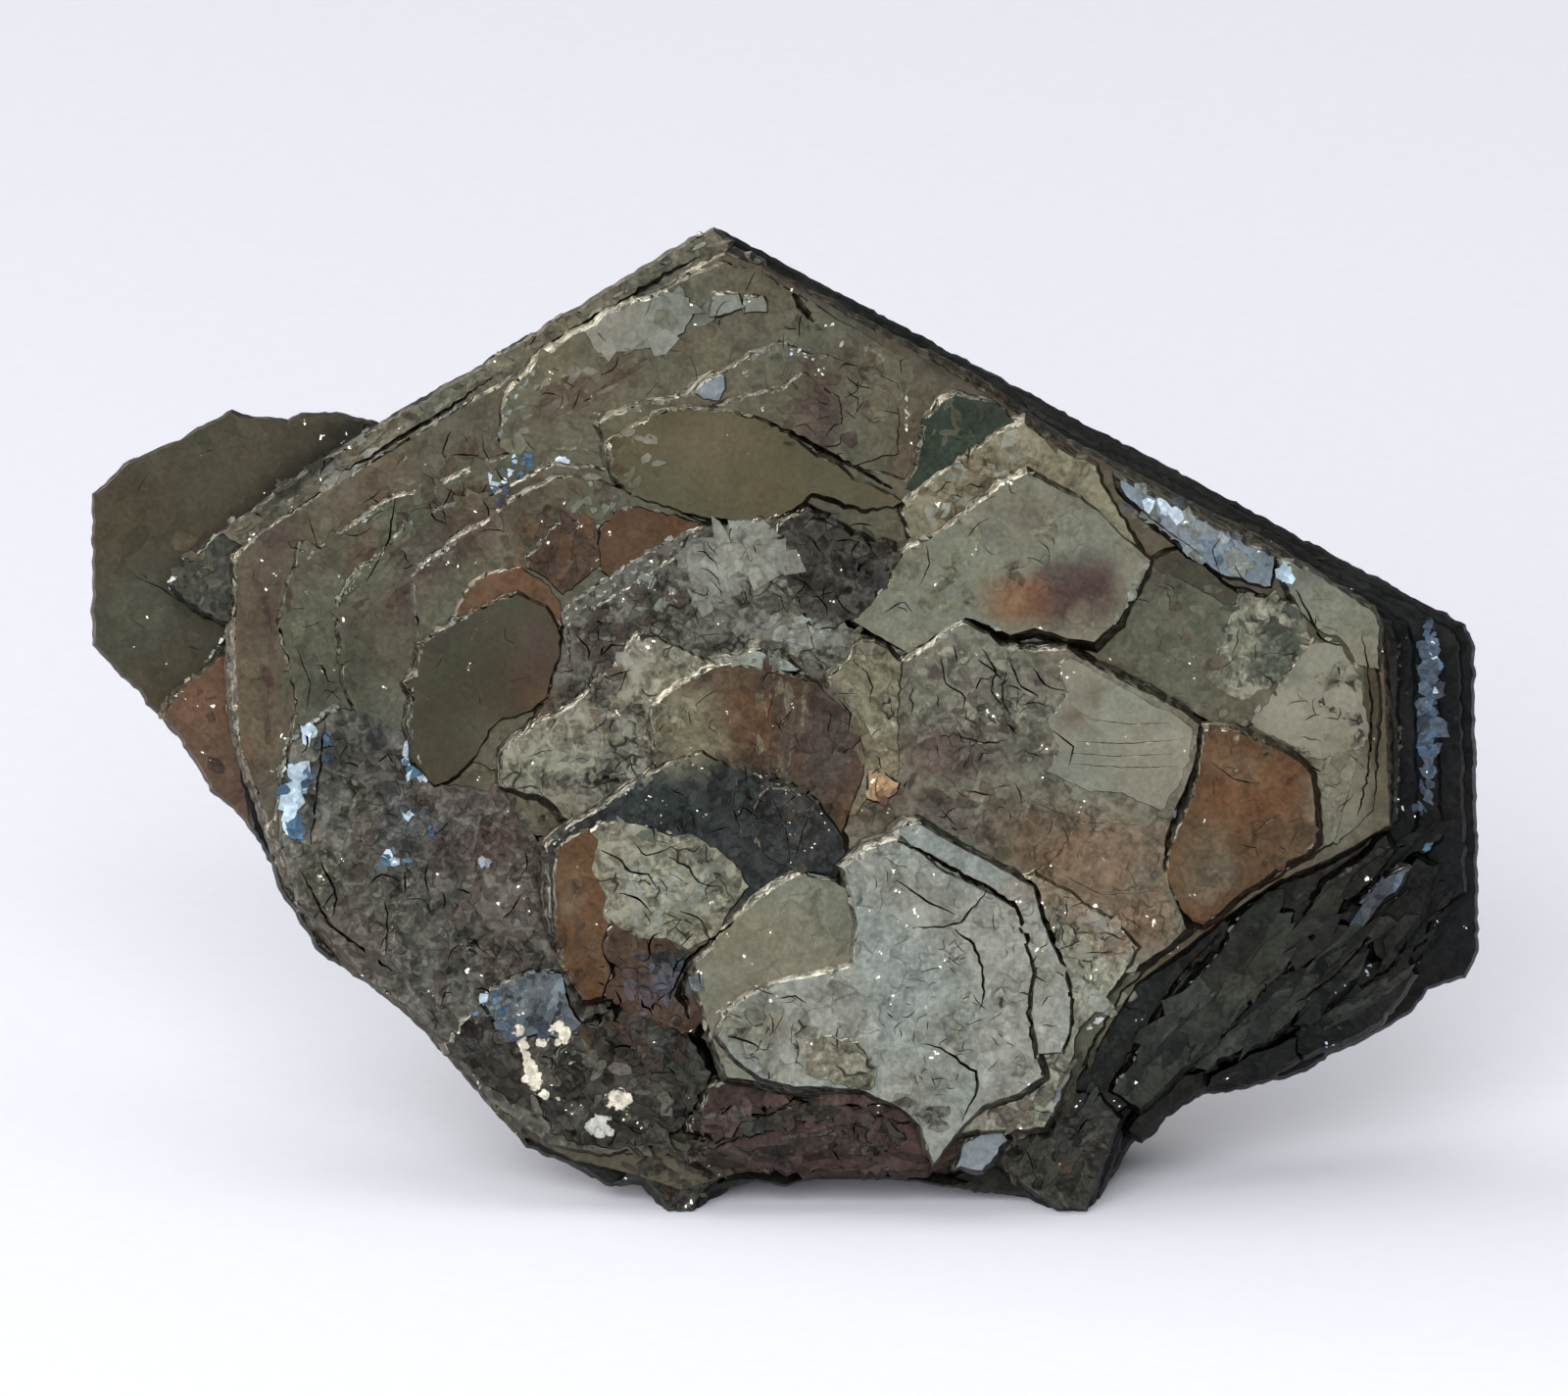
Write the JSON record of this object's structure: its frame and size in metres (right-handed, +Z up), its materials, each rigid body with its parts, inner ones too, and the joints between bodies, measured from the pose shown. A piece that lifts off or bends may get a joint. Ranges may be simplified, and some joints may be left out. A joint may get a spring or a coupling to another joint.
{
  "type": "hematite specimen",
  "caption": "Upright slab of intergrown tabular hematite crystals with stepped hexagonal plates, leaning slightly back on its broken lower edge.",
  "frame": {"origin": "middle of the bounding box's footprint, on the surface that the specimen stands on", "axes": "+X to the right along the slab's width, the plated face looks towards -Y and leans back 13 degrees, +Z up"},
  "size_m": [0.1002, 0.0358, 0.0674],
  "materials": {
    "hematite": "dark metallic mineral lustre, tarnished olive, sage, slate and copper",
    "cream_crumb": "dull, earthy, pale cream"
  },
  "bodies": {
    "root": {"hematite": "hematite", "crumb_streak": "cream_crumb", "crumb_ring": "cream_crumb", "crumb_bright": "cream_crumb", "crumb_grey": "cream_crumb"}
  },
  "joints": []
}
